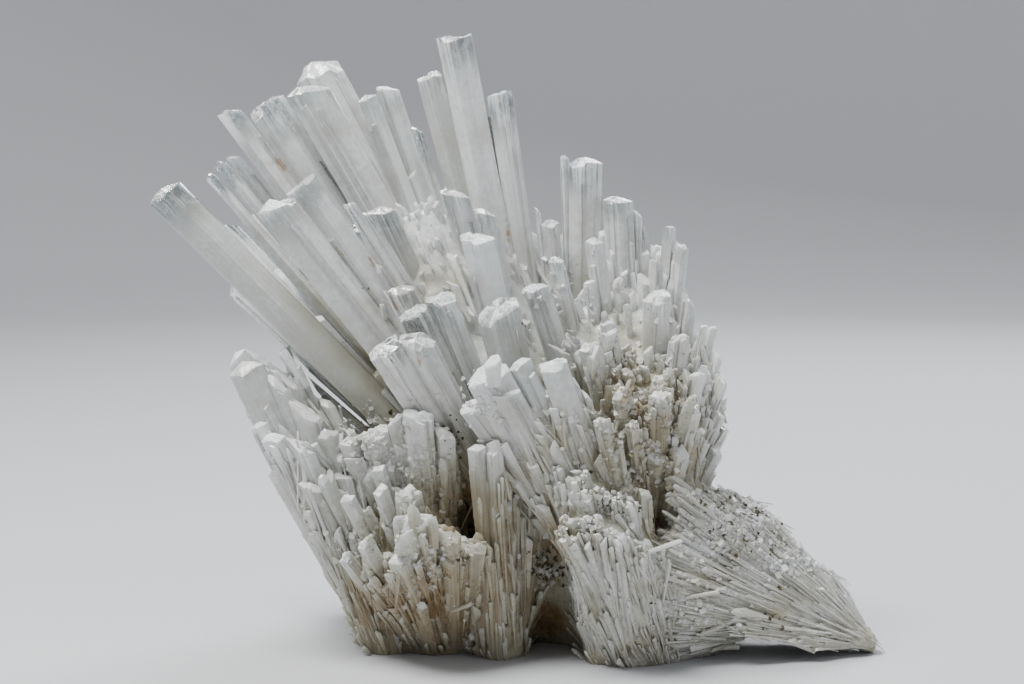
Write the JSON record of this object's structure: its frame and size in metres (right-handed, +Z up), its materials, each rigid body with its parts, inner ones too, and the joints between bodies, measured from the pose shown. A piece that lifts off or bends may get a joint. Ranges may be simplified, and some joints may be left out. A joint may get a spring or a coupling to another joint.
{
  "type": "mineral specimen",
  "caption": "Scolecite crystal cluster: fans of long, square, milky white prisms with clear ends, standing on its broken feet.",
  "frame": {"origin": "on the table, under the middle of the specimen's box", "axes": "+Z up, +X to the right as seen from the front, +Y away from the viewer"},
  "size_m": [0.1465, 0.079, 0.1249],
  "materials": {
    "scolecite": "milky white, vitreous to silky, clear at the ends of the large prisms, stained brown in the recesses"
  },
  "bodies": {
    "root": {"scolecite_cluster": "scolecite"}
  },
  "joints": []
}
